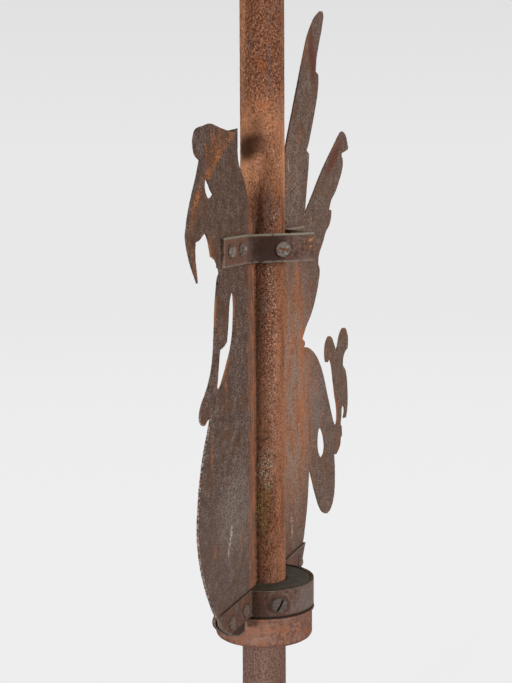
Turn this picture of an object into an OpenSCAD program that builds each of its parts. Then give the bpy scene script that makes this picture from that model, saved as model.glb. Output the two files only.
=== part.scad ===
// Dragon weathervane on a pipe mast.
// The figure is cut from sheet iron in two halves, one each side of the mast, and stands on a bronze
// hub that turns on a thrust bearing in a steel cup. A square bracket higher up guides it with four
// set screws. +Z is up the mast, the head looks along -X and the origin is the middle of the mast's
// foot. Lengths are in millimetres.

/* [Mast] */
// Outside diameter of the mast pipe
mast_d = 42.4; // [38:0.1:48.3]
// Wall of the mast pipe
mast_wall = 3.2; // [2.6:0.1:4]
// Length of the mast pipe
mast_len = 866; // [840:1:1100]
// Length of mast under the bearing cup
mast_below_cup = 195; // [150:1:400]
// Diameter of the turned seat at the mast's foot
foot_seat_d = 40; // [39.4:0.1:40.4]
// Length of the turned seat at the mast's foot
foot_seat_len = 120; // [60:1:140]
// Wall of the cap on top of the mast
cap_wall = 3; // [2:0.5:5]
// Depth of the cap's skirt around the mast
cap_skirt = 22; // [10:1:40]
// Height of the cap's dome
cap_dome = 7; // [3:0.5:12]

/* [Sheet iron figure] */
// Length of the figure from beak to tail
figure_len = 491; // [450:1:530]
// Thickness of the sheet
plate_t = 2; // [1.5:0.25:3]
// Space between the mast and each half of the figure
plate_gap = 5.8; // [4:0.1:10]
// Height of the figure's lower edge above that of the hub straps
plate_rise = 1.2; // [0.5:0.1:3]
// Height of the figure's belly line above the hub
figure_rise = 1.1; // [0:0.1:3]
// How far the crest's last tooth is bent out behind the sheet
tooth_len = 29; // [15:1:34]
// Height of the crest's last tooth
tooth_h = 25; // [15:1:28]

/* [Flat bar] */
// Width of the flat bar in the hub straps
bar_w = 25; // [20:1:30]
// Thickness of the flat bar
bar_t = 3; // [2:0.5:4]
// Bend radius on the middle line of the bar
bend_r = 3.6; // [3:0.1:6]

/* [Upper bracket] */
// Height of the bracket's lower edge above the hub
bracket_z = 309; // [290:1:330]
// Width of the flat bar in the bracket
bracket_w = 27; // [24:0.5:32]
// Space between the mast and the inside of the bracket's four sides
guide_gap = 15; // [12:0.5:18]
// Angle between a side of the bracket and the figure
side_angle = 42.8; // [40:0.2:50]
// Height of the guide screws above the bracket's lower edge
guide_rise = 12; // [10:0.5:14]
// Length of the bracket's flat end on the head's side
head_flange_len = 61.2; // [56:0.1:75]
// Length of the bracket's flat end on the tail's side
tail_flange_len = 67.6; // [56:0.1:75]
// Distance from a bend to the middle of the inner rivet
flange_rivet_in = 17.4; // [14:0.2:24]
// Distance from a bend to the middle of the outer rivet
flange_rivet_out = 44.8; // [40:0.2:52]
// Height of the rivets above the bracket's lower edge
flange_rivet_rise = 14; // [10:0.5:16]

/* [Hub] */
// Diameter of the bronze hub
hub_d = 90.8; // [84:0.1:96]
// Height that the hub straps stand above the hub's face
strap_proud = 0.8; // [0:0.1:2]
// Edge break around the hub's face
hub_chamfer = 1; // [0.5:0.1:2]
// Length of the plain bearing in the hub
hub_bearing_len = 22; // [12:1:28]
// Depth of the relief at the top of the hub's bore
hub_relief_depth = 3; // [1:0.5:5]
// Length of the head side's ears
head_ear_len = 80.3; // [78:0.1:86]
// Length of the tail side's ears
tail_ear_len = 74.5; // [73:0.1:80]
// Distance from the strap ring to the middle of the inner ear rivet
ear_rivet_in = 15; // [12:0.5:20]
// Distance from the strap ring to the outer ear rivet on the head side
ear_rivet_head = 52; // [46:0.5:56]
// Distance from the strap ring to the outer ear rivet on the tail side
ear_rivet_tail = 54; // [46:0.5:56]
// Height of the ear rivets above the strap's lower edge
ear_rivet_rise = 11; // [9:0.5:13]
// Height of the hub screws above the strap's lower edge
hub_screw_rise = 11.5; // [10:0.5:13]
// Angle between the figure and each hub screw
hub_screw_angle = 36; // [30:1:60]

/* [Bearing cup] */
// Outside diameter of the cup
cup_d = 93.6; // [91:0.1:100]
// Wall of the cup
cup_wall = 3; // [2:0.2:4]
// Thickness of the cup's floor
cup_floor = 4; // [3:0.5:6]
// Height of the cup
cup_h = 30.4; // [28:0.1:40]
// Diameter of the rolled bead at the cup's rim
bead_d = 5; // [4:0.2:6]
// Edge rounding at the cup's floor
cup_edge_r = 4; // [1:0.5:5]
// Diameter of a bearing ball
ball_d = 8; // [6:0.5:9]
// Number of balls
ball_count = 12; // [6:1:16]
// Thickness of each race
race_t = 5; // [4:0.2:6]
// Depth of the ball track in a race
track_depth = 1.4; // [0.8:0.1:2]
// Thickness of the ball cage
cage_t = 2; // [1.5:0.1:2.4]
// Width of metal around each ball in the cage
cage_edge = 2.4; // [1.5:0.1:3]

/* [Screws and rivets] */
// Diameter of the screws
screw_d = 8; // [6:0.5:10]
// Diameter of the screw heads
head_d = 14.6; // [12:0.1:18]
// Height of the screw heads
head_h = 5; // [4:0.5:7]
// Height of the straight side of the screw heads
head_side = 2.4; // [1:0.1:3]
// Width of the screwdriver slots
slot_w = 2.2; // [1:0.1:3]
// Depth of the screwdriver slots
slot_depth = 2.8; // [1:0.1:3.4]
// Turn of the slots in the guide screws
guide_slot_turn = 82; // [0:1:175]
// Turn of the slots in the hub screws
hub_slot_turn = 150; // [0:5:175]
// Length of a hub screw under its head
hub_screw_len = 16; // [10:0.5:20]
// Width across the flats of the guide nuts
nut_af = 13; // [11:0.5:17]
// Thickness of the guide nuts
nut_t = 6.5; // [5:0.5:8]
// Diameter of the rivets
rivet_d = 6; // [5:0.5:8]
// Diameter of the rivet heads
rivet_head_d = 12; // [10:0.5:14]
// Height of the upper rivet heads
upper_rivet_h = 5.2; // [3:0.1:6]
// Height of the lower rivet heads
lower_rivet_h = 3.4; // [2:0.1:5]

/* [Fits] */
// Radial clearance of the hub's plain bearing on the mast
bearing_fit = 0.08; // [0.03:0.01:0.1]
// Radial clearance of parts fixed to each other
fixed_fit = 0.05; // [0.02:0.01:0.1]
// Gap between a guide screw's tip and the mast
guide_play = 0.3; // [0.1:0.1:1]
// Gap between the turning parts and the cup
running_gap = 0.8; // [0.5:0.1:1.5]
// Gap around each ball
ball_play = 0.15; // [0.1:0.05:0.3]
// Radial relief where the hub isn't a bearing
hub_relief = 1.2; // [0.6:0.1:2]

/* [Hidden] */
$fn = 96;
corner = 1;
curve_steps = 4;
bend_steps = 6;
through = 400;
sides = [-1, 1];

mast_r = mast_d / 2;
bore_r = mast_r - mast_wall;
cap_r = mast_r + cap_wall;
screw_r = screw_d / 2;
rivet_r = rivet_d / 2;
ball_r = ball_d / 2;
bead_r = bead_d / 2;

// Heights from the foot
cup_top = mast_below_cup + cup_h;
floor_top = mast_below_cup + cup_floor;
strap_bottom = cup_top + running_gap;
strap_top = strap_bottom + bar_w;
hub_top = strap_top - strap_proud;
race_gap = ball_r + ball_play - track_depth;
ball_z = floor_top + race_t + race_gap;
upper_race_z = ball_z + race_gap;
hub_bottom = upper_race_z + race_t;

// Radii around the mast
hub_r = hub_d / 2;
ring_in_r = hub_r + fixed_fit;
ring_out_r = ring_in_r + bar_t;
cup_r = cup_d / 2;
cup_in_r = cup_r - cup_wall;
spigot_r = cup_in_r - running_gap;
bearing_r = mast_r + bearing_fit;
relief_r = mast_r + hub_relief;
track_r = ball_r + ball_play;
ball_circle_r = (relief_r + spigot_r) / 2;

// Plan of the bracket, on the middle line of its bar
bar_y = plate_t / 2 + bar_t / 2;
side_in = mast_r + guide_gap;
side_mid = side_in + bar_t / 2;
side_out = side_in + bar_t;
bend_x = (side_mid - bar_y * cos(side_angle)) / sin(side_angle);
apex_y = side_mid / cos(side_angle);
head_flange_x = bend_x + head_flange_len;
tail_flange_x = bend_x + tail_flange_len;
bracket_bottom = hub_top + bracket_z;
guide_z = bracket_bottom + guide_rise;
rivet_grip = plate_t + 2 * bar_t;
guide_angles = [for (a = [90 - side_angle, 90 + side_angle]) each [a, -a]];

// Sizes at which the outlines are drawn: the figure, the inner edge of its halves, the ears, the bar
drawn_len = 491;
drawn_edge = 27;
drawn_head_ear = 80.3;
drawn_tail_ear = 74.5;
drawn_bar = 25;
inner_edge = mast_r + plate_gap;
seat_edge = ring_in_r + plate_rise;

// Places of the rivets along X and of the hub screws around the mast
upper_rivets = [for (s = sides) each [s * (bend_x + flange_rivet_in), s * (bend_x + flange_rivet_out)]];
lower_rivets = [
    -(ring_out_r + ear_rivet_in), -(ring_out_r + ear_rivet_head),
    ring_out_r + ear_rivet_in, ring_out_r + ear_rivet_tail
];
upper_rivet_z = bracket_bottom + flange_rivet_rise;
lower_rivet_z = strap_bottom + ear_rivet_rise;
hub_screw_z = strap_bottom + hub_screw_rise;
hub_screw_angles = [for (a = [hub_screw_angle, 180 - hub_screw_angle]) each [a, -a]];

// Outline points are [distance from the mast's axis, height above the hub], and a point with a third
// value is a sharp corner. The outline runs smoothly through the others.

// Head half: neck, crest, crown, brow, beak, mouth, throat, foreleg, foot, chest, bottom edge
head_outline = [
    [27, 328, corner], [30, 338], [36, 350], [44, 371], [54, 386], [66, 398], [69, 405], [70.3, 414],
    [72, 425.5, corner], [69, 431, corner], [76, 429.5], [82, 427.8], [100, 429.3], [120, 431.8],
    [137, 434], [150, 431.8], [162, 430.3], [170, 427.5], [174.5, 421], [174.5, 413], [170.5, 406.5],
    [161, 402.5, corner], [168, 389], [178, 374], [187, 358], [191.5, 345.5], [193, 339.5], [190, 330],
    [183, 317], [174, 305.5], [168.5, 299, corner], [169.5, 306], [172.6, 318.5], [173.4, 328],
    [172, 334, corner], [164.5, 335], [158, 338], [150, 341, corner], [144, 336], [139.5, 327.5],
    [136.5, 319.5, corner], [128, 317], [121, 311.5], [116, 304, corner], [120.5, 299.5], [123, 291.5],
    [125.8, 280], [128, 263], [129.3, 250], [131, 238], [135, 223.5], [142, 211.5], [151, 202],
    [160.5, 194], [165, 185], [162.5, 178.5], [155, 175.3], [148, 178.5], [140, 179.5, corner],
    [145.5, 169], [154.5, 154], [161.5, 138], [167, 120], [170.5, 102], [172, 85], [169.5, 68],
    [163.5, 50], [153, 30], [141, 12], [129, -2], [121, -10, corner], [106, -18.5], [84, -24, corner],
    [27, -24, corner]
];
// Slit between the foreleg and the chest
foreleg_slit = [
    [86, 284.5], [90.5, 280], [93.7, 270], [95.8, 256], [99.5, 241, corner], [107, 238],
    [116.5, 236, corner], [119, 227], [121.8, 215], [124.3, 204, corner], [120, 201.8],
    [115, 203.5], [105.5, 213], [95.5, 225], [87.5, 236], [82.5, 250], [80.6, 268], [82, 282]
];
// Eye
eye_hole = [
    [147, 387], [150.8, 383], [150, 377], [145, 371.3], [138, 370], [130.5, 372.8, corner],
    [136, 377.2], [142, 383]
];
// Top of the crest's last tooth, where it is bent square to the sheet
tooth_top = [70.3, 431];
// Outline of that tooth behind the sheet, in shares of its length and height
tooth_outline = [
    [-0.03, 0, corner], [0.4, -0.1], [0.8, -0.26], [1, -0.45], [0.97, -0.8], [0.75, -1],
    [0.4, -0.94], [-0.03, -0.72, corner]
];
// Tail half: the first wing blade with its steps, the second blade, the back, the tail with its
// three lobes, the hip and the bottom edge
tail_outline = [
    [27, 338, corner], [48, 380], [72, 420.5], [93, 454], [115, 489], [133.5, 518], [142, 530],
    [154.5, 541.5], [166, 550.3], [178, 556.2], [189, 560.2], [196, 559.6], [198, 555, corner],
    [190.7, 540], [181.5, 525], [173.3, 510], [169.8, 495.5, corner], [179, 492.8, corner],
    [179.8, 485], [175.6, 470.5], [166.3, 453], [154.7, 434.5], [145.5, 420.5], [137.8, 412.3, corner],
    [146, 408.5, corner],
    [145, 398], [139.5, 378.5], [134, 357], [131.3, 346.5, corner], [145, 355.5], [166, 370.5],
    [187, 386], [213, 402.5], [238, 417], [258, 429], [273, 434.3], [287.5, 428.5],
    [295.8, 416.5, corner], [295, 414.2, corner], [282, 411.4], [269.5, 409.7, corner],
    [269.5, 405.5, corner], [273, 404, corner], [273.8, 396], [267, 386], [256.3, 376.3],
    [243.8, 366.3], [228, 358], [220, 348.3, corner], [229, 346.7, corner], [226.5, 337.5],
    [219, 330], [207, 324], [196, 313], [181.5, 301], [179, 291, corner], [184.5, 282.5],
    [178, 268], [166.5, 252], [152.5, 239], [136, 228.5], [122.5, 217, corner], [131, 213, corner],
    [131, 210, corner], [128.5, 207.3, corner], [141, 205.6], [160, 199], [180, 186.5], [197, 169],
    [212, 146], [223, 130], [234, 113.5], [242, 105], [249.5, 104.5], [253, 113], [250.5, 126],
    [244.6, 138], [238.5, 154], [231.5, 172.5], [223, 182], [215, 179.7], [208, 181.5], [205, 191],
    [208, 201], [218, 207.7], [229, 206], [238.5, 198], [248.5, 187.5, corner], [254.5, 192.5],
    [262, 203], [274, 210.3], [288, 208.3], [297, 196], [295, 185, corner], [285, 182.3],
    [277, 176.5], [275, 168, corner], [286, 161], [291.5, 151], [295, 135], [295, 118],
    [289, 104.8, corner], [278.8, 106, corner], [283.5, 114], [279, 120.8], [271.3, 118.5],
    [269.3, 110], [266, 101, corner], [270.5, 98, corner], [272, 87, corner], [267, 85.5, corner],
    [264, 77], [250, 70], [240, 71.5, corner], [243, 52], [241, 28], [230, 14.5], [215, 10.3],
    [200, 14], [184.5, 24.5], [168.5, 44], [154.5, 65], [146.5, 77.5, corner], [143.6, 62],
    [139, 38], [131, 17], [125.5, 4], [114, -10, corner], [100, -19], [82, -24, corner],
    [27, -24, corner]
];
// Hole in the tail
tail_hole = [
    [182, 111.3], [177.3, 106], [176, 95], [179.5, 85.5], [189, 78.3], [199, 80], [203.6, 88.5],
    [198.5, 101], [190.5, 109.6]
];

// Ears of the hub straps: [distance from the ring, height above the strap's lower edge]
ear_root = [[-1.5, 0, corner], [-1.5, 25, corner]];
ear_lobe = [[42.5, -4.7], [34.5, -7.1], [26, -8.6], [18.2, -9.1, corner], [16, -4], [15.5, 0, corner]];
head_ear = concat(
    ear_root,
    [[70, 25, corner], [77, 23.8], [80.3, 19.5], [76.5, 13.6], [63.5, 5.3], [50.5, -1.4]],
    ear_lobe
);
tail_ear = concat(
    ear_root,
    [[74.5, 26.6, corner], [68.5, 19.5], [62, 9.5], [52.5, 0.5]],
    ear_lobe
);

function flat(p) = [p[0], p[1]];
function is_corner(p) = len(p) > 2;
function smooth(a, b, c, d, u) =
    (2 * b + (c - a) * u + (2 * a - 5 * b + 4 * c - d) * u * u + (3 * b - a - 3 * c + d) * u * u * u) / 2;

// Points of one stretch of an outline, from point i to just before point i + 1
function stretch(points, i) =
    let (
        n = len(points),
        here = points[i],
        next = points[(i + 1) % n],
        before = is_corner(here) ? here : points[(i + n - 1) % n],
        after = is_corner(next) ? next : points[(i + 2) % n],
        steps = is_corner(here) && is_corner(next) ? 1 : curve_steps
    )
    [for (s = [0:steps - 1]) smooth(flat(before), flat(here), flat(next), flat(after), s / steps)];
function outline(points, x_scale, z_scale) =
    [for (i = [0:len(points) - 1]) each [for (p = stretch(points, i)) [p[0] * x_scale, p[1] * z_scale]]];

function unit(v) = v / norm(v);
function left(v) = [-v[1], v[0]];
function turned(v, a) = [v[0] * cos(a) - v[1] * sin(a), v[0] * sin(a) + v[1] * cos(a)];

// One side of a bend in a bar whose middle line goes a, b, c
function bend(a, b, c, radius, offset) =
    let (
        u = unit(b - a),
        v = unit(c - b),
        turn = sign(cross(u, v)),
        angle = acos(u * v),
        centre = b - u * radius * tan(angle / 2) + left(u) * turn * radius
    )
    [for (i = [0:bend_steps])
        centre - turned(left(u) * turn, turn * angle * i / bend_steps) * (radius - turn * offset)];
function bar_side(path, radius, offset) =
    let (last = len(path) - 1)
    concat(
        [path[0] + left(unit(path[1] - path[0])) * offset],
        [for (i = [1:last - 1]) each bend(path[i - 1], path[i], path[i + 1], radius, offset)],
        [path[last] + left(unit(path[last] - path[last - 1])) * offset]
    );
function backwards(list) = [for (i = [len(list) - 1:-1:0]) list[i]];
function bar_plan(path, thickness, radius) =
    concat(bar_side(path, radius, thickness / 2), backwards(bar_side(path, radius, -thickness / 2)));

// A drawing in X and Z made solid, the given thickness across Y
module upright(thickness) {
    rotate([90, 0, 0])
        linear_extrude(thickness, center = true)
            children();
}

// Along the radius at an angle around the mast and a height, with +Z of the child pointing outwards
module outwards(angle, z) {
    translate([0, 0, z])
        rotate([0, 0, angle])
            rotate([0, 90, 0])
                children();
}

module tube(r_out, r_in, z, height) {
    translate([0, 0, z])
        difference() {
            cylinder(r = r_out, h = height);
            translate([0, 0, -1])
                cylinder(r = r_in, h = height + 2);
        }
}

module dome(r, h) {
    ball = (r * r + h * h) / (2 * h);
    intersection() {
        translate([0, 0, h - ball])
            sphere(r = ball);
        cylinder(r = r, h = h + 1);
    }
}

module rivet_holes(places, z) {
    for (x = places)
        translate([x, 0, z])
            rotate([90, 0, 0])
                cylinder(r = rivet_r + fixed_fit, h = through, center = true);
}

module mast() {
    color("sienna")
        difference() {
            union() {
                cylinder(d = foot_seat_d, h = mast_len);
                translate([0, 0, foot_seat_len])
                    cylinder(r = mast_r, h = mast_len - foot_seat_len);
            }
            translate([0, 0, -1])
                cylinder(r = bore_r, h = mast_len + 2);
        }
}

module mast_cap() {
    color("saddlebrown")
        difference() {
            translate([0, 0, mast_len - cap_skirt]) {
                cylinder(r = cap_r, h = cap_skirt + cap_wall);
                translate([0, 0, cap_skirt + cap_wall])
                    dome(cap_r, cap_dome);
            }
            translate([0, 0, mast_len - cap_skirt - 1])
                cylinder(r = mast_r + fixed_fit, h = cap_skirt + 1);
        }
}

module bearing_cup() {
    color("brown")
        translate([0, 0, mast_below_cup])
            difference() {
                union() {
                    translate([0, 0, cup_edge_r])
                        cylinder(r = cup_r, h = cup_h - bead_r - cup_edge_r);
                    cylinder(r = cup_r - cup_edge_r, h = cup_edge_r);
                    translate([0, 0, cup_edge_r])
                        rotate_extrude()
                            translate([cup_r - cup_edge_r, 0])
                                circle(r = cup_edge_r);
                    translate([0, 0, cup_h - bead_r])
                        rotate_extrude()
                            translate([cup_in_r + bead_r, 0])
                                circle(r = bead_r);
                }
                translate([0, 0, cup_floor])
                    cylinder(r = cup_in_r, h = cup_h);
                translate([0, 0, -1])
                    cylinder(r = mast_r + fixed_fit, h = cup_h);
            }
}

module ball_track() {
    translate([0, 0, ball_z])
        rotate_extrude()
            translate([ball_circle_r, 0])
                circle(r = track_r);
}

module lower_race() {
    color("slategray")
        difference() {
            tube(cup_in_r - running_gap, mast_r + running_gap, floor_top, race_t);
            ball_track();
        }
}

module upper_race() {
    color("lightslategray")
        difference() {
            tube(spigot_r - running_gap, relief_r, upper_race_z, race_t);
            ball_track();
        }
}

module ball_places() {
    for (i = [0:ball_count - 1])
        rotate([0, 0, i * 360 / ball_count])
            translate([ball_circle_r, 0, ball_z])
                children();
}

module ball_cage() {
    cage_r = track_r + cage_edge;
    color("darkgoldenrod")
        difference() {
            tube(ball_circle_r + cage_r, ball_circle_r - cage_r, ball_z - cage_t / 2, cage_t);
            ball_places()
                cylinder(r = track_r, h = through, center = true);
        }
}

module bearing_balls() {
    color("silver")
        ball_places()
            sphere(r = ball_r);
}

module hub() {
    color("darkolivegreen")
        difference() {
            union() {
                translate([0, 0, hub_bottom])
                    cylinder(r = spigot_r, h = strap_bottom - hub_bottom);
                translate([0, 0, strap_bottom])
                    cylinder(r = hub_r, h = hub_top - hub_chamfer - strap_bottom);
                translate([0, 0, hub_top - hub_chamfer])
                    cylinder(r1 = hub_r, r2 = hub_r - hub_chamfer, h = hub_chamfer);
            }
            translate([0, 0, hub_bottom - 1])
                cylinder(r = bearing_r, h = hub_top - hub_bottom + 2);
            translate([0, 0, hub_top - hub_relief_depth])
                cylinder(r = relief_r, h = hub_relief_depth + 1);
            translate([0, 0, hub_bottom - 1])
                cylinder(r = relief_r, h = hub_top - hub_relief_depth - hub_bearing_len - hub_bottom + 1);
            for (a = hub_screw_angles)
                outwards(a, hub_screw_z)
                    translate([0, 0, ring_out_r - hub_screw_len - 1])
                        cylinder(r = screw_r + fixed_fit, h = hub_screw_len + 2);
        }
}

// The back strap. The front one is its mirror image.
module hub_strap() {
    difference() {
        union() {
            difference() {
                tube(ring_out_r, ring_in_r, strap_bottom, bar_w);
                translate([-through / 2, plate_t / 2 - through, strap_bottom - 1])
                    cube([through, through, bar_w + 2]);
            }
            translate([0, bar_y, strap_bottom]) {
                translate([ring_out_r, 0, 0])
                    upright(bar_t)
                        polygon(outline(tail_ear, tail_ear_len / drawn_tail_ear, bar_w / drawn_bar));
                mirror([1, 0, 0])
                    translate([ring_out_r, 0, 0])
                        upright(bar_t)
                            polygon(outline(head_ear, head_ear_len / drawn_head_ear, bar_w / drawn_bar));
            }
        }
        rivet_holes(lower_rivets, lower_rivet_z);
        for (a = [hub_screw_angle, 180 - hub_screw_angle])
            outwards(a, hub_screw_z)
                cylinder(r = screw_r + fixed_fit, h = through);
    }
}

module hub_strap_back() {
    color("dimgray")
        hub_strap();
}

module hub_strap_front() {
    color("dimgray")
        mirror([0, 1, 0])
            hub_strap();
}

// The back half of the square bracket. The front one is its mirror image.
module bracket() {
    head_end = [[-head_flange_x, bar_y], [-bend_x, bar_y]];
    tail_end = [[bend_x, bar_y], [tail_flange_x, bar_y]];
    plan = concat(head_end, [[0, apex_y]], tail_end);
    difference() {
        translate([0, 0, bracket_bottom])
            linear_extrude(bracket_w)
                polygon(bar_plan(plan, bar_t, bend_r));
        rivet_holes(upper_rivets, upper_rivet_z);
        for (a = [90 - side_angle, 90 + side_angle])
            outwards(a, guide_z)
                cylinder(r = screw_r + fixed_fit, h = through);
    }
}

module bracket_back() {
    color("dimgray")
        bracket();
}

module bracket_front() {
    color("dimgray")
        mirror([0, 1, 0])
            bracket();
}

// One half of the figure, cut back where it passes the hub, with a straight lower edge
module half_figure(points, holes) {
    size = figure_len / drawn_len;
    difference() {
        translate([inner_edge - drawn_edge * size, 0, hub_top + figure_rise])
            upright(plate_t)
                difference() {
                    polygon(outline(points, size, size));
                    for (hole = holes)
                        polygon(outline(hole, size, size));
                }
        translate([-1, -plate_t, hub_top - bar_w])
            cube([seat_edge + 1, 2 * plate_t, bar_w]);
        translate([-1, -plate_t, strap_bottom + plate_rise - through])
            cube([through, 2 * plate_t, through]);
    }
}

// The crest's last tooth, bent square behind the sheet
module crest_tooth() {
    size = figure_len / drawn_len;
    edge = inner_edge + (tooth_top[0] - drawn_edge) * size;
    translate([edge, 0, hub_top + figure_rise + tooth_top[1] * size])
        rotate([90, 0, 90])
            linear_extrude(plate_t, center = true)
                polygon(outline(tooth_outline, tooth_len, tooth_h));
}

module head_plate() {
    color("darkslategray")
        difference() {
            mirror([1, 0, 0]) {
                half_figure(head_outline, [foreleg_slit, eye_hole]);
                crest_tooth();
            }
            rivet_holes(upper_rivets, upper_rivet_z);
            rivet_holes(lower_rivets, lower_rivet_z);
        }
}

module tail_plate() {
    color("darkslategray")
        difference() {
            half_figure(tail_outline, [tail_hole]);
            rivet_holes(upper_rivets, upper_rivet_z);
            rivet_holes(lower_rivets, lower_rivet_z);
        }
}

// A slotted pan-head screw along +Z, with the underside of its head at z = 0
module slotted_screw(len, slot_turn) {
    color("gray") {
        translate([0, 0, -len])
            cylinder(r = screw_r, h = len + 1);
        difference() {
            union() {
                cylinder(d = head_d, h = head_side);
                translate([0, 0, head_side])
                    dome(head_d / 2, head_h - head_side);
            }
            rotate([0, 0, slot_turn])
                translate([-head_d, -slot_w / 2, head_h - slot_depth])
                    cube([2 * head_d, slot_w, head_h]);
        }
    }
}

module guide_screw(i) {
    outwards(guide_angles[i], guide_z)
        translate([0, 0, side_out])
            slotted_screw(side_out - mast_r - guide_play, guide_slot_turn);
}

module guide_nut(i) {
    color("darkgray")
        outwards(guide_angles[i], guide_z)
            translate([0, 0, side_in - nut_t])
                difference() {
                    cylinder(d = nut_af / cos(30), h = nut_t, $fn = 6);
                    translate([0, 0, -1])
                        cylinder(r = screw_r + fixed_fit, h = nut_t + 2);
                }
}

module hub_screw(i) {
    outwards(hub_screw_angles[i], hub_screw_z)
        translate([0, 0, ring_out_r])
            slotted_screw(hub_screw_len, hub_slot_turn);
}

module rivet(x, z, head) {
    color("rosybrown")
        translate([x, 0, z])
            for (s = sides)
                rotate([90 * s, 0, 0]) {
                    cylinder(r = rivet_r, h = rivet_grip / 2 + 1);
                    translate([0, 0, rivet_grip / 2])
                        dome(rivet_head_d / 2, head);
                }
}

module upper_rivet(i) {
    rivet(upper_rivets[i], upper_rivet_z, upper_rivet_h);
}

module lower_rivet(i) {
    rivet(lower_rivets[i], lower_rivet_z, lower_rivet_h);
}

mast();
mast_cap();
bearing_cup();
lower_race();
ball_cage();
bearing_balls();
upper_race();
hub();
hub_strap_front();
hub_strap_back();
bracket_front();
bracket_back();
head_plate();
tail_plate();
for (i = [1:4])
    guide_screw(i - 1);
for (i = [1:4])
    guide_nut(i - 1);
for (i = [1:4])
    hub_screw(i - 1);
for (i = [1:4])
    upper_rivet(i - 1);
for (i = [1:4])
    lower_rivet(i - 1);
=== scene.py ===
import math

import bmesh
import bpy
from mathutils import Matrix, Vector, noise


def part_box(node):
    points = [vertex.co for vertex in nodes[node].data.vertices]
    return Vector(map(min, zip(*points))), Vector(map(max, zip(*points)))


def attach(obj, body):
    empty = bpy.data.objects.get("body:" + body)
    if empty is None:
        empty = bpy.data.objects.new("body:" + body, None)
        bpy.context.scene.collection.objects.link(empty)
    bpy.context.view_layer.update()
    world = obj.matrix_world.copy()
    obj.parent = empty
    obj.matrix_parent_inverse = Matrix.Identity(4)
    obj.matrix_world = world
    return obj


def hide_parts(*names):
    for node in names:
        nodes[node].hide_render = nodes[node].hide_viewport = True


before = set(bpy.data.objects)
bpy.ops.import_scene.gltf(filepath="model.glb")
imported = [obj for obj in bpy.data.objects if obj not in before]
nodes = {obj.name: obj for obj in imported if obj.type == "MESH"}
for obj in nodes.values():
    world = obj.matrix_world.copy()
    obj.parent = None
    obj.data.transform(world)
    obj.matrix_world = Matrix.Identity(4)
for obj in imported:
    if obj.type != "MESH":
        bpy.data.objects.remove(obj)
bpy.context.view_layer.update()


# Mast
# A length of drawn steel pipe, turned down at the foot to fit its socket. Years on a roof have
# left it with a scaled, pitted weather side and smooth orange patina on the lee side.

# A millimetre, in the frame's metres
MM = 0.001
# A half width, in mm, that takes in the whole vane
wide = 900
mast_r = 21.2
bore_r = 18.0
seat_r = 20.0
seat_top = 120.0
mast_top = 866.0
mast_turns = 100
mast_cell = 2.0
mast_pit = 3.2
mast_loss = 0.35
# The way that the mast's weather side faces, turned from +X towards +Y
weather_side = math.radians(189)
# Rust pits: how fast the finer layers fade, how much finer each layer is, and how many there are
pit_fade = 0.9
pit_step = 2.1
pit_layers = 3
# Corners closer than this are welded, in metres
weld = 1e-6
# Edges that turn more than this look sharp
sharp_turn = math.radians(32)


def srgb(text):
    """A colour as it is written for a screen, such as 6b584d, as the linear one that shaders use."""
    parts = [int(text[i : i + 2], 16) / 255 for i in (0, 2, 4)]
    return [p / 12.92 if p <= 0.04045 else ((p + 0.055) / 1.055) ** 2.4 for p in parts] + [1.0]


def add(tree, kind, sockets=None, **settings):
    """Adds a node with its settings, sets or joins its sockets, and gives its first output in use."""
    node = tree.nodes.new("ShaderNode" + kind)
    for name, value in settings.items():
        setattr(node, name, value)
    for name, value in (sockets or {}).items():
        if isinstance(name, int):
            socket = node.inputs[name]
        else:
            socket = next(s for s in node.inputs if s.enabled and s.name == name)
        if isinstance(value, bpy.types.NodeSocket):
            tree.links.new(value, socket)
        else:
            socket.default_value = value
    return next((s for s in node.outputs if s.enabled), None)


def meet(tree, *where):
    """One mask for the places where all the given ones meet. Each is a mask, a strength from 0
    to 1, or a value and two bounds: a soft step from 0 at the first bound to 1 at the second.
    The bounds of a place are in metres."""
    found = None
    for mask in where:
        if isinstance(mask, tuple):
            ends = {"Value": mask[0], "From Min": mask[1], "From Max": mask[2]}
            mask = add(tree, "MapRange", ends, interpolation_type="SMOOTHSTEP")
        if found is None:
            found = mask
        else:
            found = add(tree, "Math", {0: found, 1: mask}, operation="MULTIPLY")
    return found


def coat(tree, ground, paint, *where):
    """A paint laid over a ground where the masks meet. Each is a hex colour, a linear colour or
    a socket."""
    ground, paint = [srgb(c) if isinstance(c, str) else c for c in (ground, paint)]
    layers = {"Factor": meet(tree, *where), "A": ground, "B": paint}
    return add(tree, "Mix", layers, data_type="RGBA")


def spots(tree, place, *each):
    """One mask of soft spots. Each is its centre and its half widths in X, Y and Z, all in mm,
    and, where it leans, by how many radians towards +X."""
    found = None
    for centre, half, *lean in each:
        turn = lean[0] if lean else 0
        at = add(tree, "Mapping", {
            "Vector": place, "Location": [c * MM for c in centre], "Rotation": (0, turn, 0),
            "Scale": [h * MM for h in half]}, vector_type="TEXTURE")
        spot = meet(tree, (add(tree, "VectorMath", {0: at}, operation="LENGTH"), 1.0, 0.3))
        if found is None:
            found = spot
        else:
            found = add(tree, "Math", {0: found, 1: spot}, operation="MAXIMUM")
    return found


def blank(name):
    """Makes a material with no finish yet. Gives it, its tree and the place on the piece."""
    made = bpy.data.materials.new(name)
    made.use_nodes = True
    tree = made.node_tree
    tree.nodes.clear()
    return made, tree, add(tree, "TexCoord").node.outputs["Object"]


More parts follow.
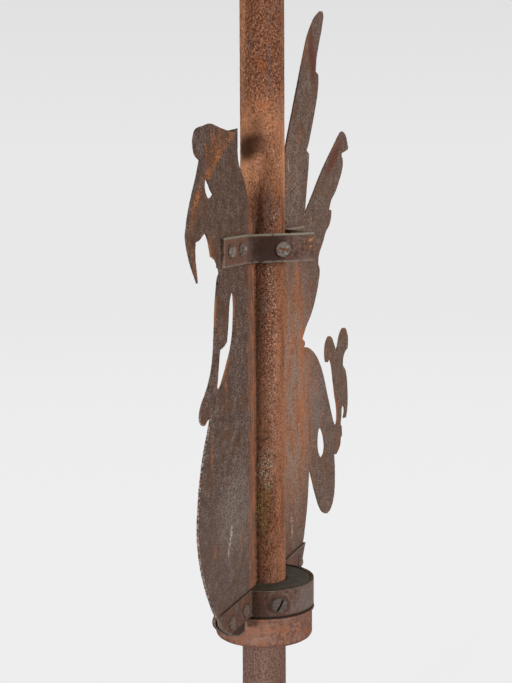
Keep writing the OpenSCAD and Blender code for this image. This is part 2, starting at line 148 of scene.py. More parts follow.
def start_rust(name, dark, ground, pale, grain_mm, run=1.0, shift=0.0):
    """Starts a rusted iron: dark hollows, a ground and a pale crust in grains of that size,
    drawn out run times along the mast. Real grains are too fine to show, so these are as coarse
    as they need to be. Gives the material, its tree, the place, the colour and the grain."""
    made, tree, place = blank(name)
    drawn = add(tree, "Mapping", {
        "Vector": place, "Location": (shift, shift, shift), "Scale": (1, 1, 1 / run)})
    grain = add(tree, "TexNoise", {
        "Vector": drawn, "Scale": 1 / (grain_mm * MM), "Detail": 2.0, "Roughness": 0.6})
    colour = coat(tree, dark, ground, (grain, 0.34, 0.50))
    colour = coat(tree, colour, pale, (grain, 0.54, 0.70))
    return made, tree, place, colour, grain


def finish_rust(tree, colour, height, height_mm, rough=0.85, gloss=0.12):
    """Ends a rusted iron with a bump of that height, and a dry shader."""
    bump = add(tree, "Bump", {"Height": height, "Strength": 1.0, "Distance": height_mm * MM})
    shader = add(tree, "BsdfPrincipled", {
        "Base Color": colour, "Roughness": rough, "Specular IOR Level": gloss, "Normal": bump})
    add(tree, "OutputMaterial", {"Surface": shader})


def ragged(tree, place, size_mm, reach_mm):
    """The place shifted by up to that reach by noise of that size, for torn edges."""
    torn = add(tree, "TexNoise", {"Vector": place, "Scale": 1 / (size_mm * MM), "Detail": 3.0})
    torn = torn.node.outputs["Color"]
    torn = add(tree, "VectorMath", {0: torn, 1: (-0.5, -0.5, -0.5)}, operation="ADD")
    reach = [2 * reach_mm * MM] * 3
    return add(tree, "VectorMath", {0: torn, 1: reach, 2: place}, operation="MULTIPLY_ADD")


def show(name, bm, material, body, slot, *stands_for):
    """Makes a finished piece of a bmesh, smooth but for its true edges, on its body, and hides the
    CAD parts that it stands for.
    """
    mesh = bpy.data.meshes.new(name)
    bm.to_mesh(mesh)
    bm.free()
    mesh.shade_smooth()
    mesh.set_sharp_from_angle(angle=sharp_turn)
    mesh.materials.append(material)
    piece = bpy.data.objects.new(name, mesh)
    bpy.context.scene.collection.objects.link(piece)
    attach(piece, body)
    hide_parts(*stands_for)


def spun(profile, turns, cells=()):
    """A solid of revolution about the mast from a closed profile of [radius, height] in mm.
    cells gives, for each side of the profile, how many rings it is cut into."""
    bm = bmesh.new()
    verts = [bm.verts.new((r * MM, 0, z * MM)) for r, z in profile]
    sides = [bm.edges.new((verts[i - 1], verts[i])) for i in range(len(verts))]
    for side, count in zip(sides, cells):
        if count > 1:
            bmesh.ops.subdivide_edges(bm, edges=[side], cuts=count - 1)
    bmesh.ops.spin(bm, geom=bm.verts[:] + bm.edges[:], cent=(0, 0, 0), axis=(0, 0, 1),
                   angle=2 * math.pi, steps=turns, use_merge=True)
    bmesh.ops.remove_doubles(bm, verts=bm.verts, dist=weld)
    bmesh.ops.recalc_face_normals(bm, faces=bm.faces)
    return bm


def eaten(at, pit_mm):
    """How far rust has eaten into a place, from 0 to 1, in pits of that size."""
    depth = 0.5 + 0.5 * noise.fractal(at / (pit_mm * MM), pit_fade, pit_step, pit_layers)
    return min(max(depth, 0), 1)


mast_profile = [
    (bore_r, mast_top), (bore_r, 0), (seat_r, 0), (seat_r, seat_top), (mast_r, seat_top),
    (mast_r, mast_top),
]
# The seat's side and the pipe's side are cut into rings one cell high
rings = [1, 1, 1, round(seat_top / mast_cell), 1, round((mast_top - seat_top) / mast_cell)]
mast_mesh = spun(mast_profile, mast_turns, rings)
mast_mesh.normal_update()
for v in mast_mesh.verts:
    v.co -= v.normal * mast_loss * MM * eaten(v.co, mast_pit)

# Rusted steel pipe: dry, warm orange brown all over, rough with fine dark grains on the weather
# side and soft on the lee side, palest at the crest, speckled with white flecks and lichen.
cloud_mm = 16
run_mm = 9
blot_mm = 4
fleck_mm = 1.5
mast_rust, tree, place, colour, grain = start_rust(
    "rusted steel pipe", "482c1f", "7c5039", "a3755b", grain_mm=1.7, run=1.2)
height = add(tree, "SeparateXYZ", {"Vector": place}).node.outputs["Z"]
run_down = add(tree, "Mapping", {"Vector": place, "Scale": (1, 1, 0.2)})
runs = add(tree, "TexNoise", {"Vector": run_down, "Scale": 1 / (run_mm * MM), "Detail": 4.0})
cloud = add(tree, "TexNoise", {"Vector": place, "Scale": 1 / (cloud_mm * MM), "Detail": 4.0})
blots = add(tree, "TexNoise", {"Vector": place, "Scale": 1 / (blot_mm * MM), "Detail": 2.0})
flecks = add(tree, "TexNoise", {"Vector": place, "Scale": 1 / (fleck_mm * MM), "Detail": 1.0})

# The scale: grey runs, orange clouds and dark blots over the crust
colour = coat(tree, colour, "6c5750", (runs, 0.52, 0.64), 0.55)
colour = coat(tree, colour, "8f512f", (cloud, 0.54, 0.68), 0.6)
colour = coat(tree, colour, "402518", (blots, 0.42, 0.30), 0.6)

# It covers the weather side, and clouds fray its border with the smooth patina of the lee side
towards = (math.cos(weather_side), math.sin(weather_side), 0)
facing = add(tree, "VectorMath", {0: place, 1: towards}, operation="DOT_PRODUCT")
facing = add(tree, "Math", {0: facing, 1: 1 / (mast_r * MM)}, operation="MULTIPLY")
scaled = add(tree, "Math", {0: facing, 1: cloud}, operation="ADD")
scaled = add(tree, "Math", {0: scaled, 1: meet(tree, (height, 0.58, 0.64), 0.38)}, operation="ADD")
scaled = meet(tree, (scaled, 1.05, 1.38))
patina = coat(tree, "80533c", "a0684a", (runs, 0.40, 0.60))
patina = coat(tree, patina, "5c3826", (grain, 0.56, 0.34), 0.7)
colour = coat(tree, patina, colour, scaled)

# A pale crest with bleached patches, a patch of painted light high on the mast's left side,
# and bands that differ along the mast
colour = coat(tree, colour, "d6946a", spots(tree, place, ((0, 0, 668), (wide, wide, 62))), 0.34)
bleached_and_lit = spots(
    tree, place, ((-17, 13, 655), (12, 12, 55)), ((6, -21, 650), (14, 14, 62)),
    ((-15, 16, 790), (9, 12, 120)))
colour = coat(tree, colour, "dc9c72", bleached_and_lit, 0.45)
colour = coat(tree, colour, "5a3320", (height, 0.69, 0.75), (grain, 0.62, 0.42), scaled, 0.4)
# Painted shadow: a dark patch on the mast's left below the crest, where the head's shadow falls
colour = coat(tree, colour, "3a2014", spots(tree, place, ((-20.5, -2, 606), (9, 9, 34))), 0.6)
# More bands along the mast, dark grains all over, and dark blots low on the weather side
colour = coat(tree, colour, "b98263", spots(tree, place, ((0, 0, 405), (wide, wide, 90))), 0.32)
colour = coat(tree, colour, "b07a5c", spots(tree, place, ((0, 0, 268), (wide, wide, 55))), 0.25)
colour = coat(tree, colour, "45281a", (grain, 0.52, 0.34), 0.55)
colour = coat(tree, colour, "3a2116", (blots, 0.50, 0.36), (height, 0.44, 0.38), scaled, 0.5)

# Painted shadow of the crest's bent tooth on the mast beside it, with its smear, and painted
# shade behind the dragon's chest
chest_side = (-0.94, 0.34, 0)
frayed = ragged(tree, place, size_mm=6, reach_mm=5)
tooth_shadow = spots(tree, frayed, ((-18, 10, 668), (12, 15, 24)))
colour = coat(tree, colour, "3a2115", tooth_shadow, (grain, 0.20, 0.60), 0.75)
tooth_shadow_smear = spots(tree, frayed, ((-20, -2, 682), (11, 10, 22)))
colour = coat(tree, colour, "4a2a1a", tooth_shadow_smear, (grain, 0.20, 0.60), 0.5)
shady = add(tree, "VectorMath", {0: place, 1: chest_side}, operation="DOT_PRODUCT")
colour = coat(tree, colour, "2b1a12", (shady, 0.0170, 0.0195), (height, 0.60, 0.56), 0.4)

# White flecks and two patches of lichen
fleck_places = spots(
    tree, place, ((-15.8, -14.2, 470), (10, 10, 160)), ((-15, -14, 662), (6, 6, 7)),
    ((-13.6, -16.2, 601), (6, 6, 11)), ((-7.8, -19.7, 650), (6, 6, 10)))
colour = coat(tree, colour, "c4a594", (flecks, 0.57, 0.67), fleck_places, 0.8)
frayed = ragged(tree, place, size_mm=5, reach_mm=6)
lichen = spots(tree, frayed, ((-19, -9, 360), (10, 10, 26)))
colour = coat(tree, colour, "bcae98", (flecks, 0.52, 0.60), lichen, 0.85)
lichen = spots(tree, frayed, ((-20, -6, 325), (9, 10, 36)))
colour = coat(tree, colour, "91844a", (flecks, 0.53, 0.60), lichen, 0.9)

# Duller and more purple below the cup, where rain drips on it, and darker on its front with
# painted shade
shade_side = (-0.26, -0.97, 0)
purple = coat(tree, "62493f", "896e64", (grain, 0.32, 0.62))
colour = coat(tree, colour, purple, (height, 0.205, 0.190), 0.8)
front = add(tree, "VectorMath", {0: place, 1: shade_side}, operation="DOT_PRODUCT")
colour = coat(tree, colour, "4a352b", (front, 0.008, 0.021), (height, 0.205, 0.190), 0.4)

# The bump is full in the scale, and this share of it is left on the lee side
lee_depth = 0.35
depth = add(tree, "Math", {0: scaled, 1: lee_depth}, operation="MAXIMUM")
finish_rust(tree, colour, meet(tree, grain, depth), height_mm=1.1)

show("mast_pipe", mast_mesh, mast_rust, "mast", "mast_iron", "mast")


# Mast cap
# A pressed steel cap with a low dome, driven over the top of the pipe to keep rain out. It has
# weathered to the same rust as the pipe.


# Faces that meet at less than this are one flat face, and edges that turn more get broken
flat_turn = math.radians(0.5)
edge_turn = math.radians(35)
# Corners closer to a cut than this are left on it, in metres
touch = 1e-7
worn_pit = 2.4


def worn(node, bevel_mm, cell_mm, depth_mm, ragged_mm=0.0, axes="xz"):
    """A copy of a CAD node with its edges broken, cut into cells across the given axes and eaten
    by rust, ragged_mm deeper at its edges. The corners of its broken edges are marked 1 in the
    attribute rim."""
    bm = bmesh.new()
    bm.from_mesh(nodes[node].data)
    bmesh.ops.remove_doubles(bm, verts=bm.verts, dist=weld)
    bmesh.ops.dissolve_limit(bm, angle_limit=flat_turn, verts=bm.verts, edges=bm.edges)
    broken = bm.faces.layers.int.new("broken")
    rim = bm.verts.layers.float.new("rim")
    edges = [e for e in bm.edges if e.calc_face_angle(0) > edge_turn]
    cut = bmesh.ops.bevel(
        bm, geom=edges, offset=bevel_mm * MM, offset_type="OFFSET", segments=1,
        profile=0.5, affect="EDGES", material=-1, clamp_overlap=True)
    for face in cut["faces"]:
        face[broken] = 1
    low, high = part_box(node)
    for axis in axes:
        k = "xyz".index(axis)
        normal = Vector((k == 0, k == 1, k == 2))
        count = int((high[k] - low[k]) / (cell_mm * MM))
        for i in range(1, count + 1):
            at = normal * (low[k] + i * (high[k] - low[k]) / (count + 1))
            bmesh.ops.bisect_plane(
                bm, geom=bm.verts[:] + bm.edges[:] + bm.faces[:], dist=touch,
                plane_co=at, plane_no=normal)
    bm.normal_update()
    for v in bm.verts:
        v[rim] = float(any(f[broken] for f in v.link_faces))
        v.co -= v.normal * MM * eaten(v.co, worn_pit) * (depth_mm + ragged_mm * v[rim])
    return bm


cap_mesh = worn("mast_cap", bevel_mm=0.4, cell_mm=3.0, depth_mm=0.1, axes="z")
show("cap_pressing", cap_mesh, mast_rust, "mast", "mast_iron", "mast_cap")


# Bearing cup
# A cast iron cup with a rolled bead at its rim. Its floor fits tight on the mast, and the ball
# bearing lies in it.

# Rusted cast iron: a soft reddish brown, mottled in orange, grey and dark brown, lighter on its
# left with painted light, and with painted shade as black lines under the bead and under the hub.
cloud_mm = 12
blot_mm = 5
cup_rust, tree, place, colour, grain = start_rust(
    "rusted cast iron", "60433a", "7a5849", "8c7065", grain_mm=2.2, shift=3.0)
cloud = add(tree, "TexNoise", {"Vector": place, "Scale": 1 / (cloud_mm * MM), "Detail": 4.0})
height = add(tree, "SeparateXYZ", {"Vector": place}).node.outputs["Z"]
colour = coat(tree, colour, "88563e", (cloud, 0.50, 0.66), 0.7)
colour = coat(tree, colour, "8b776d", (cloud, 0.46, 0.34), 0.4)
blots = add(tree, "TexNoise", {"Vector": place, "Scale": 1 / (blot_mm * MM), "Detail": 4.0})
colour = coat(tree, colour, "a4603c", (blots, 0.54, 0.66), 0.5)
colour = coat(tree, colour, "4e342a", (blots, 0.46, 0.34), 0.6)
# Painted light: the cup's left side made lighter where the left lamp falls on it
colour = coat(tree, colour, "a67a64", spots(tree, place, ((-48, 4, 210), (24, 40, 30))), 0.3)
colour = coat(tree, colour, "523629", (height, 0.200, 0.1955), (cloud, 0.62, 0.44), 0.6)
# Painted shade: black lines in the gaps under the bead and under the hub
under_bead = spots(tree, place, ((-wide, 0, 220.3), (wide + 2, 44, 1.4)))
under_hub = meet(tree, (height, 0.2232, 0.2244))
gap_shade = add(tree, "Math", {0: under_bead, 1: under_hub}, operation="MAXIMUM")
colour = coat(tree, colour, "2a1c17", gap_shade, 0.9)
finish_rust(tree, colour, grain, height_mm=0.3)

cup_mesh = worn("bearing_cup", bevel_mm=0.4, cell_mm=2.5, depth_mm=0.15, axes="xyz")
show("cup_casting", cup_mesh, cup_rust, "mast", "cup_iron", "bearing_cup")


# Ball bearing
# Two ground steel races, a ring of polished balls and the sheared brass cage that spaces them.
# They lie out of sight in the cup, and keep their machined shapes.


# How far, in radians, the wave texture turns in one unit of its scaled place
wave_rate = 20
# The share of its brightness that metal keeps where it is soiled
soil_share = 0.35
# How deep the turning lines are
line_depth_mm = 0.02


def machined(name, hex_colour, rough, metal, line_mm, soil_mm=6):
    """A machined metal with turning lines round the mast, drawn that far apart so that they show."""
    made, tree, place = blank(name)
    lines = add(tree, "TexWave", {
        "Vector": place, "Scale": 2 * math.pi / (wave_rate * line_mm * MM),
        "Distortion": 0.6, "Detail": 2.0},
        wave_type="RINGS", rings_direction="Z")
    soil = add(tree, "TexNoise", {"Vector": place, "Scale": 1 / (soil_mm * MM), "Detail": 5.0})
    soiled = [soil_share * part for part in srgb(hex_colour)[:3]] + [1.0]
    colour = coat(tree, hex_colour, soiled, (soil, 0.52, 0.75), 0.7)
    bump = add(tree, "Bump", {"Height": lines, "Strength": 0.3, "Distance": line_depth_mm * MM})
    shader = add(tree, "BsdfPrincipled", {
        "Base Color": colour, "Roughness": rough, "Metallic": metal, "Normal": bump})
    add(tree, "OutputMaterial", {"Surface": shader})
    return made


def dress(material, *names):
    """Gives CAD nodes a finish."""
    for name in names:
        nodes[name].data.materials.clear()
        nodes[name].data.materials.append(material)


# Ground bearing steel: grey and silky under a film of grease. Polished ball steel: bright, with
# sharp highlights. Sheared brass: dull yellow, with fine lines.
race_steel = machined("ground bearing steel", "a19d98", rough=0.35, metal=1.0, line_mm=2.5)
ball_steel = machined("polished ball steel", "cfcfd0", rough=0.12, metal=1.0, line_mm=1.9)
cage_brass = machined("sheared brass", "b89a58", rough=0.42, metal=1.0, line_mm=3.1)
dress(race_steel, "lower_race", "upper_race")
dress(ball_steel, "bearing_balls")
dress(cage_brass, "ball_cage")


# Hub
# A turned bronze block that spins on the mast, with a shallow relief round the pipe. Bronze out
# of doors goes dull olive, nearly black where the straps and the mast shade it.

# Weathered bronze: a dull olive film with brown stains and pale dust, and hardly a shine left.
film_mm = 9
dust_mm = 1.8
dust_depth_mm = 0.15
hub_bronze, tree, place = blank("weathered bronze")
film = add(tree, "TexNoise", {
    "Vector": place, "Scale": 1 / (film_mm * MM), "Detail": 6.0, "Roughness": 0.6})
dust = add(tree, "TexNoise", {"Vector": place, "Scale": 1 / (dust_mm * MM), "Detail": 3.0})
colour = coat(tree, "4a483b", "5b594a", (film, 0.40, 0.62))
colour = coat(tree, colour, "6d5a4a", (film, 0.60, 0.75), 0.6)
colour = coat(tree, colour, "77756a", (dust, 0.60, 0.80), 0.5)
bump = add(tree, "Bump", {"Height": dust, "Strength": 0.6, "Distance": dust_depth_mm * MM})
shader = add(tree, "BsdfPrincipled", {
    "Base Color": colour, "Roughness": 0.6, "Metallic": 0.35, "Normal": bump})
add(tree, "OutputMaterial", {"Surface": shader})

hub_mesh = worn("hub", bevel_mm=0.3, cell_mm=3.0, depth_mm=0.05, axes="xyz")
show("hub_turning", hub_mesh, hub_bronze, "vane", "hub_bronze", "hub")


# Hub straps
# Two half rings of flat iron bar, screwed to the hub and bent out into ears that clamp the sheet
# between them. Rivets go through the ears.

# Rusted flat bar: darker and smoother than the sheet, a faint sheen on a brown ground with grey
# clouds, with painted shade nearly black where the dragon's chest shades it and darker on the
# rings' left, and with pale rubbed edges.
cloud_mm = 14
spot_mm = 5
strap_rust, tree, place, colour, grain = start_rust(
    "rusted flat bar", "412c24", "573f35", "6c554b", grain_mm=3.0, shift=7.0)
parts = add(tree, "SeparateXYZ", {"Vector": place})
across, inward, height = [parts.node.outputs[axis] for axis in "XYZ"]
cloud = add(tree, "TexNoise", {"Vector": place, "Scale": 1 / (cloud_mm * MM), "Detail": 4.0})
marks = add(tree, "TexNoise", {"Vector": place, "Scale": 1 / (spot_mm * MM), "Detail": 4.0})
colour = coat(tree, colour, "694636", (cloud, 0.52, 0.66), 0.8)
colour = coat(tree, colour, "6a5a54", (cloud, 0.46, 0.34), 0.6)
colour = coat(tree, colour, "82706a", (marks, 0.62, 0.76), 0.5)
colour = coat(tree, colour, "8f5f41", (marks, 0.33, 0.27), 0.6)
colour = coat(tree, colour, "7e736d", spots(tree, place, ((-4, -48, 238), (36, 24, 22))), 0.45)
flange = add(tree, "Math", {0: across}, operation="ABSOLUTE")
colour = coat(tree, colour, "75513f", (flange, 0.050, 0.056), (height, 0.5, 0.6), 0.5)
# Painted shade on the sleeve beside the dragon's chest, and on the rings' left side
shaded = spots(tree, place, ((-36, -18, 573), (28, 28, 40)), ((-36, 18, 573), (28, 28, 40)))
colour = coat(tree, colour, "2a150c", shaded, 0.88)
shaded = spots(tree, place, ((-44, -18, 238), (22, 22, 40)), ((-44, 18, 238), (22, 22, 40)))
colour = coat(tree, colour, "35251e", shaded, 0.42)

# Painted shade round every rivet
rivet_shade = []
for rivet in [f"{row}_{i}" for row in ("lower_rivet", "upper_rivet") for i in range(1, 5)]:
    low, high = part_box(rivet)
    middle = [(a + b) / 2 / MM for a, b in zip(low, high)]
    rivet_shade.append((middle, (10, 20, 10)))
colour = coat(tree, colour, "2c1e18", spots(tree, place, *rivet_shade), 0.8)

# Painted highlight on the bracket's fold, painted light inside its far side, and a few yellow marks
far_side = (0.71, 0.70, 0)
fold = spots(tree, place, ((0, -55, 573), (3.5, 5, 60)))
colour = coat(tree, colour, "9c887a", fold, (marks, 0.30, 0.46), 0.75)
lit_inside = add(tree, "VectorMath", {0: place, 1: far_side}, operation="DOT_PRODUCT")
lit_inside = meet(tree, (lit_inside, 0.0366, 0.0356), (inward, 0.002, 0.006), (across, 0.0, 0.01))
colour = coat(tree, colour, "c4b09f", lit_inside, (height, 0.56, 0.57), 0.9)
yellowed = spots(
    tree, ragged(tree, place, size_mm=3, reach_mm=3), ((-4, -48, 580), (3.6, 9, 3.6)),
    ((-15, -48, 583), (2.6, 9, 2.6)), ((-4, -48, 573), (2, 9, 2)))
colour = coat(tree, colour, "a8744b", yellowed, (marks, 0.38, 0.54), 0.85)

# Painted shade along the straps' lower edge, the bracket's upper edge pale, partly with dust and
# partly as painted highlight, and pale on broken edges
colour = coat(tree, colour, "2a1c17", (height, 0.2274, 0.2266), 0.8)
colour = coat(tree, colour, "7c7766", (height, 0.5836, 0.5850), (marks, 0.28, 0.44), 0.85)
rim = add(tree, "Attribute", attribute_name="rim").node.outputs["Fac"]
colour = coat(tree, colour, "857a6d", rim, (marks, 0.34, 0.50), 0.8)
finish_rust(tree, colour, grain, height_mm=0.3, rough=0.7)

bar_wear = {"bevel_mm": 0.5, "cell_mm": 2.5, "depth_mm": 0.15, "ragged_mm": 0.2, "axes": "xyz"}
for side in ("front", "back"):
    bar_mesh = worn("hub_strap_" + side, **bar_wear)
    show("strap_" + side, bar_mesh, strap_rust, "vane", "strap_iron", "hub_strap_" + side)


# Upper bracket
# Two flat bars folded into a square sleeve round the mast, with flanges riveted to the sheet.
# They are cut from the same rusted bar as the straps.

for side in ("front", "back"):
    bar_mesh = worn("bracket_" + side, **bar_wear)
    show("sleeve_" + side, bar_mesh, strap_rust, "vane", "strap_iron", "bracket_" + side)


# Dragon
# Two halves of sheet iron cut by hand with a chisel and shears, one on each side of the mast.
# Rain has run down them from the bracket and the wing.


def strokes(tree, place, *ends):
    """Streaks on the sheet. Each is the x and z of its two ends and its half width, all in mm."""
    found = []
    for x1, z1, x2, z2, half in ends:
        reach = math.hypot(x2 - x1, z2 - z1) / 2 + half
        middle = ((x1 + x2) / 2, 0, (z1 + z2) / 2)
        found.append((middle, (half, wide, reach), math.atan2(x2 - x1, z2 - z1)))
    return spots(tree, place, *found)


# Rusted sheet iron: dark brown with a fine pale crust, like old bark. The head is warmer, with
# orange streaks, and a dusty orange bloom lies behind the mast where rain runs down.
tear_mm = 5
run_mm = 3.2
fall_mm = 9
cloud_mm = 30
blot_mm = 11
chip_mm = 2.2
sheet_rust, tree, place, colour, grain = start_rust(
    "rusted sheet iron", "3a2a24", "5f4c43", "827066", grain_mm=2.1, run=0.5, shift=11.0)
torn = ragged(tree, place, tear_mm, reach_mm=3)
parts = add(tree, "SeparateXYZ", {"Vector": place})
along, height = parts.node.outputs["X"], parts.node.outputs["Z"]
down = add(tree, "Mapping", {"Vector": place, "Scale": (1, 1, 0.2)})
runs = add(tree, "TexNoise", {
    "Vector": down, "Scale": 1 / (run_mm * MM), "Detail": 3.0, "Roughness": 0.6})
falls = add(tree, "TexNoise", {"Vector": down, "Scale": 1 / (fall_mm * MM), "Detail": 2.0})
cloud = add(tree, "TexNoise", {"Vector": place, "Scale": 1 / (cloud_mm * MM), "Detail": 4.0})

# Brown clouds and grey ones, dark blots and pale ones, with tones that differ along the sheet
colour = coat(tree, colour, "62422f", (cloud, 0.50, 0.64), 0.6)
colour = coat(tree, colour, "7d7069", (cloud, 0.50, 0.38), (grain, 0.44, 0.60), 0.4)
blots = add(tree, "TexNoise", {"Vector": place, "Scale": 1 / (blot_mm * MM), "Detail": 4.0})
colour = coat(tree, colour, "40302a", (blots, 0.52, 0.66), 0.5)
colour = coat(tree, colour, "8c7c72", (blots, 0.48, 0.36), (grain, 0.40, 0.56), 0.45)
colour = coat(tree, colour, "4f3626", (height, 0.40, 0.58), (along, 0.02, -0.02), 0.28)
colour = coat(tree, colour, "8a6c5a", (along, 0.06, 0.15), (grain, 0.34, 0.56), 0.3)
root = spots(tree, place, ((86, 0, 640), (45, wide, 70)))
colour = coat(tree, colour, "a08270", root, (grain, 0.40, 0.60), 0.45)
colour = coat(tree, colour, "63524a", (height, 0.38, 0.33), (along, -0.02, -0.04), 0.4)
pale = spots(tree, torn, ((-83, 0, 334), (60, wide, 62)))
colour = coat(tree, colour, "a89c92", pale, (grain, 0.34, 0.60), 0.28)

# The bloom: dusty pale grains and dark ones on orange, broken by runs
bloom = coat(tree, "a06642", "957b6c", (falls, 0.38, 0.60))
bloom = coat(tree, bloom, "bc7650", (runs, 0.54, 0.66), (grain, 0.40, 0.54), 0.5)
bloom = coat(tree, bloom, "b39585", (grain, 0.54, 0.68), 0.55)
bloom = coat(tree, bloom, "583c2e", (grain, 0.50, 0.36), 0.8)
bloom = coat(tree, bloom, "60402e", (runs, 0.45, 0.33), 0.25)
bloomed = spots(tree, torn, ((86, 0, 415), (108, wide, 185)))
colour = coat(tree, colour, bloom, bloomed, 0.9)

# A grey hip, orange streaks on both halves, a warm haze on the head, and a bright brow
grey = spots(tree, torn, ((177, 0, 394), (34, wide, 60)))
colour = coat(tree, colour, "887e79", grey, (grain, 0.36, 0.56), 0.5)
orange = strokes(
    tree, torn,
    (-158, 597, -133, 563, 5), (-187, 590, -171, 552, 4), (-134, 420, -140, 383, 5),
    (-118, 506, -117, 500, 5), (-75, 508, -74, 503, 4), (-104, 458, -103, 451, 4),
    (-133, 316, -129, 304, 5), (114, 690, 112, 668, 6), (199, 339, 199, 331, 5),
    (253, 340, 255, 318, 7), (-112, 470, -128, 455, 6), (173, 446, 184, 376, 5),
    (150, 470, 148, 452, 4), (182, 395, 190, 340, 5), (205, 454, 209, 437, 3),
    (272, 460, 277, 446, 3), (254, 390, 258, 368, 3))
haze = strokes(
    tree, torn, (-105, 678, -149, 641, 16), (-163, 629, -186, 592, 11), (-145, 590, -126, 561, 8))
colour = coat(tree, colour, "80502f", haze, (grain, 0.30, 0.56), 0.5)
colour = coat(tree, colour, "9a6040", orange, (runs, 0.36, 0.56), (grain, 0.36, 0.54), 0.9)
brow = strokes(
    tree, ragged(tree, place, tear_mm, reach_mm=3.5),
    (-80, 681, -107, 665, 7), (-107, 665, -134, 648, 6.5), (-134, 648, -152, 637, 6),
    (-158, 632, -181, 612, 6), (-139, 686, -131, 662, 2.6), (-131, 684, -122, 658, 2.4),
    (-117, 684, -113, 664, 2.6), (-124, 686, -140, 655, 2.2), (-65, 314, -66, 290, 5),
    (-150, 676, -146, 655, 2.4))
colour = coat(tree, colour, "ae6a3d", brow, (grain, 0.41, 0.57), (runs, 0.30, 0.52), 0.9)

# Rust run down from the bracket beside the mast, bands behind it, and crimson on the wing
beside = add(tree, "Math", {0: along}, operation="ABSOLUTE")
colour = coat(tree, colour, "7e5541", (beside, 0.052, 0.033), (runs, 0.30, 0.52), 0.8)
colour = coat(tree, colour, "a0623f", (beside, 0.050, 0.032), (runs, 0.46, 0.60), (grain, 0.36, 0.52))
bands = strokes(
    tree, torn, (100, 565, 108, 500, 10), (112, 520, 122, 400, 12), (118, 430, 128, 330, 13),
    (136, 440, 142, 350, 5))
colour = coat(tree, colour, "b0683e", bands, (runs, 0.38, 0.56), (grain, 0.28, 0.46), 0.7)
crimson = strokes(tree, torn, (150, 792, 163, 728, 15), (273, 678, 200, 634, 12))
colour = coat(tree, colour, "5e3124", crimson, 0.8)

# Pale scuffs, a scratch on the chest, and edges with orange rust or bare chips
scuffs = strokes(
    tree, torn, (-40, 272, -40, 271, 2), (75, 655, 78, 640, 4), (85, 290, 86, 268, 5))
colour = coat(tree, colour, "ab9c91", scuffs, (grain, 0.44, 0.60), 0.85)
scratch = strokes(
    tree, ragged(tree, place, size_mm=4, reach_mm=2), (-90, 326, -95, 306, 4),
    (-95, 314, -101, 296, 2.8))
colour = coat(tree, colour, "b4a79d", scratch, (grain, 0.40, 0.54), 0.95)
rim = add(tree, "Attribute", attribute_name="rim").node.outputs["Fac"]
colour = coat(tree, colour, "8b6046", rim, (cloud, 0.46, 0.60))
chips = add(tree, "TexNoise", {"Vector": place, "Scale": 1 / (chip_mm * MM), "Detail": 1.0})
chips = coat(tree, "241b17", "c9c0b8", (chips, 0.48, 0.54))
colour = coat(tree, colour, chips, rim, (along, -0.122, -0.128), (height, 0.45, 0.43), 0.45)

# Painted shade where the crest's last tooth is bent out
tooth_root = spots(tree, place, ((-70, 0, 674), (5, wide, 16)))
colour = coat(tree, colour, "33261f", tooth_root, 0.8)
finish_rust(tree, colour, grain, height_mm=0.4)

for half in ("head", "tail"):
    sheet_mesh = worn(half + "_plate", bevel_mm=0.35, cell_mm=2.2, depth_mm=0.12, ragged_mm=0.35)
    show(half + "_sheet", sheet_mesh, sheet_rust, "vane", "sheet_iron", half + "_plate")


# Screws and nuts
# Turned steel screws with slotted pan heads. Four hold the straps to the hub, and four, with
# hexagon nuts inside the square sleeve, point at the mast and centre the vane on it.

# Rusted screw steel: greyer and smoother than the bars, with rust packed in the slots.
screw_rust, tree, place, colour, grain = start_rust(
    "rusted screw steel", "4a413b", "6f665f", "8a827b", grain_mm=2.4, shift=17.0)
crevice_mm = 2.6
crevice = add(tree, "AmbientOcclusion", {"Distance": crevice_mm * MM}, only_local=True, samples=8)
crevice = crevice.node.outputs["AO"]
height = add(tree, "SeparateXYZ", {"Vector": place}).node.outputs["Z"]
lower = meet(tree, (height, 0.50, 0.30))
colour = coat(tree, colour, "463931", lower, 0.65)
packed = coat(tree, "71452e", "2e211c", lower)
colour = coat(tree, colour, packed, (crevice, 0.86, 0.62))
finish_rust(tree, colour, grain, height_mm=0.2, rough=0.6)

for i in range(1, 5):
    for kind in ("guide_screw", "hub_screw", "guide_nut"):
        name = f"{kind}_{i}"
        screw_mesh = worn(
            name, bevel_mm=0.3, cell_mm=1.6, depth_mm=0.08, ragged_mm=0.1, axes="xyz")
        show(name + "_turned", screw_mesh, screw_rust, "vane", "screw_steel", name)


# Rivets
# Soft iron rivets, hammered to low domes on both sides. Four hold the bracket to the sheet, and
# four the ears of the straps.

# Rusted rivet iron: paler than the bars where the hammer hit it, browner low on the vane.
rivet_rust, tree, place, colour, grain = start_rust(
    "rusted rivet iron", "4f423b", "786a60", "a09286", grain_mm=2.4, shift=23.0)
height = add(tree, "SeparateXYZ", {"Vector": place}).node.outputs["Z"]
colour = coat(tree, colour, "5f463b", (height, 0.50, 0.30), 0.55)
finish_rust(tree, colour, grain, height_mm=0.2, rough=0.65)

for i in range(1, 5):
    for row in ("upper_rivet", "lower_rivet"):
        name = f"{row}_{i}"
        rivet_mesh = worn(name, bevel_mm=0.2, cell_mm=1.6, depth_mm=0.1, ragged_mm=0.1)
        show(name + "_hammered", rivet_mesh, rivet_rust, "vane", "rivet_iron", name)


# Studio
# A wide pale floor, two far and soft lamps, low and one on each side of the camera, and a camera
# with a long lens that looks past the dragon's head along the sheet.

camera_place = (-1.2615, -0.4398, 0.6545)
look_turn = math.radians(19.5 - 90)
look_down = math.radians(90 - 4.80)
look_roll = math.radians(-0.235)

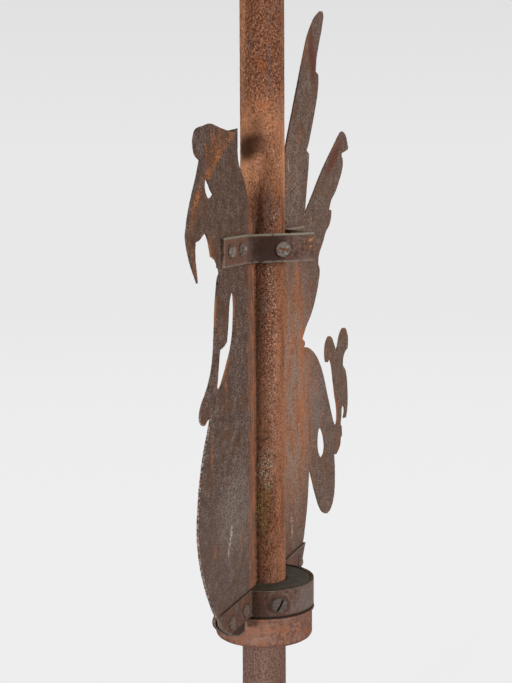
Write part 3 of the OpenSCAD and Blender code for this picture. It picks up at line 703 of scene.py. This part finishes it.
lens = bpy.data.cameras.new("camera")
lens.sensor_width = 36
lens.lens = 74.06
lens.shift_y = -0.0937
lens.clip_end = 200
camera = bpy.data.objects.new("camera", lens)
camera.matrix_world = (
    Matrix.Translation(camera_place) @ Matrix.Rotation(look_turn, 4, "Z")
    @ Matrix.Rotation(look_down, 4, "X") @ Matrix.Rotation(look_roll, 4, "Z"))
bpy.context.scene.collection.objects.link(camera)
bpy.context.scene.camera = camera

# How bright the paper looks near the mast and far off, and the backdrop above it
near_white = 0.96
far_white = 0.815
sky_white = 0.76
# Where the paper begins and ends to darken, in metres from the mast
fade_start = 0.6
fade_end = 5.0
# How much of the paper's look near the mast is an even glow, where the rest is lit paper
near_cover = 0.85
# How far up, as the sine of its angle, the backdrop goes on darkening
sky_rise = 0.11
# The floor is a disc with this half width, in metres, and this many sides
floor_reach = 80
floor_sides = 96


def shown_only(tree):
    """1 for the rays that look at the backdrop, straight or by way of a glossy or clear surface."""
    rays = add(tree, "LightPath").node.outputs
    shown = rays["Is Camera Ray"]
    for kind in ("Is Glossy Ray", "Is Transmission Ray"):
        shown = add(tree, "Math", {0: shown, 1: rays[kind]}, operation="MAXIMUM")
    return shown


# Matt paper: an even near white that darkens a little with distance.
floor_paper, tree, place = blank("matt paper floor")
away = add(tree, "VectorMath", {0: place}, operation="LENGTH")
fade = meet(tree, (away, fade_start, fade_end))
cover = add(tree, "MapRange", {"Value": fade, "To Min": near_cover, "To Max": 1.0})
tone = add(tree, "MapRange", {"Value": fade, "To Min": near_white, "To Max": far_white})
glow = add(tree, "Emission", {"Color": srgb("fefeff"), "Strength": tone})
paper = add(tree, "BsdfPrincipled", {"Base Color": srgb("e6e6e8"), "Roughness": 0.9})
mixed = add(tree, "MixShader", {0: meet(tree, shown_only(tree), cover), 1: paper, 2: glow})
add(tree, "OutputMaterial", {"Surface": mixed})

floor_mesh = bmesh.new()
bmesh.ops.create_circle(floor_mesh, cap_ends=True, radius=floor_reach, segments=floor_sides)
mesh = bpy.data.meshes.new("floor")
floor_mesh.to_mesh(mesh)
floor_mesh.free()
mesh.materials.append(floor_paper)
floor = bpy.data.objects.new("floor", mesh)
bpy.context.scene.collection.objects.link(floor)

world = bpy.data.worlds.new("studio")
bpy.context.scene.world = world
world.use_nodes = True
tree = world.node_tree
tree.nodes.clear()
ambient = add(tree, "Background", {"Color": srgb("ffffff"), "Strength": 0.22})
rise = add(tree, "TexCoord").node.outputs["Generated"]
rise = add(tree, "SeparateXYZ", {"Vector": rise}).node.outputs["Z"]
tone = add(tree, "MapRange", {
    "Value": rise, "From Max": sky_rise, "To Min": far_white, "To Max": sky_white})
backdrop = add(tree, "Background", {"Color": srgb("fefeff"), "Strength": tone})
mixed = add(tree, "MixShader", {0: shown_only(tree), 1: ambient, 2: backdrop})
add(tree, "OutputWorld", {"Surface": mixed})


def lamp(name, travel, strength, width):
    """A far soft lamp whose light travels that way, as wide in the sky as width in degrees."""
    light = bpy.data.lights.new(name, "SUN")
    light.energy = strength
    light.angle = math.radians(width)
    hung = bpy.data.objects.new(name, light)
    hung.rotation_euler = Vector(travel).to_track_quat("-Z", "Y").to_euler()
    bpy.context.scene.collection.objects.link(hung)


def heading(turn, fall):
    """The way that light goes, turn degrees from +X towards +Y and fall degrees downwards."""
    turn, fall = math.radians(turn), math.radians(fall)
    return math.cos(turn) * math.cos(fall), math.sin(turn) * math.cos(fall), -math.sin(fall)


lamp("left lamp", heading(turn=-9, fall=3), strength=2.4, width=9)
lamp("right lamp", heading(turn=82, fall=6), strength=2.55, width=24)

bpy.context.scene.view_settings.view_transform = "Standard"
